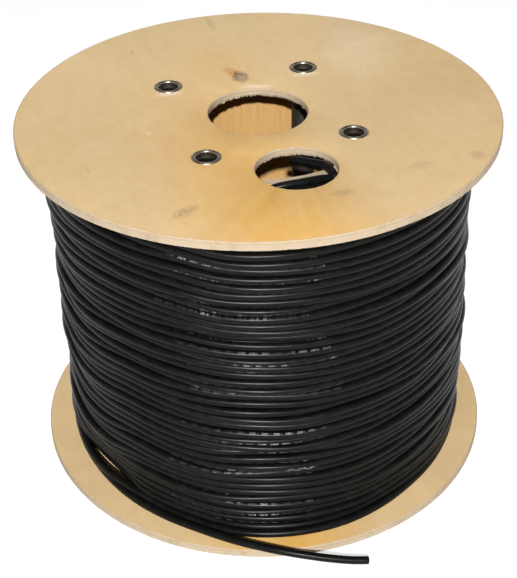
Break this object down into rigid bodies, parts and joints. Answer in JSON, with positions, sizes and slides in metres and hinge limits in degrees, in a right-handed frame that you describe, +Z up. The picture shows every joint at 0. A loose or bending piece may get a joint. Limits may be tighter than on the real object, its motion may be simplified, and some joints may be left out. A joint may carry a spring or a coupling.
{
  "type": "wooden cable drum wound with cable",
  "caption": "Round plywood cable drum on its end, with a bent plywood barrel, hollow steel tube rivets and a full winding of black cable with free inner and outer ends.",
  "frame": {"origin": "on the drum's axis, at the level that the lower rims of the tube rivets stand on", "axes": "+Z up along the drum's axis, towards the flange with the start hole; the start hole lies towards -Y"},
  "size_m": [0.4, 0.4271, 0.3128],
  "materials": {
    "plywood": "pale sanded birch plywood",
    "bent_plywood": "bent plywood with its grain along the barrel",
    "steel": "bright plated steel tube",
    "cable_jacket": "satin black extruded cable jacket"
  },
  "bodies": {
    "root": {"flange_bottom": "plywood", "flange_top": "plywood", "barrel": "bent_plywood", "tube_rivet_1": "steel", "tube_rivet_2": "steel", "tube_rivet_3": "steel", "tube_rivet_4": "steel", "cable_winding": "cable_jacket", "cable_outer_end": "cable_jacket", "cable_inner_end": "cable_jacket"}
  },
  "joints": []
}
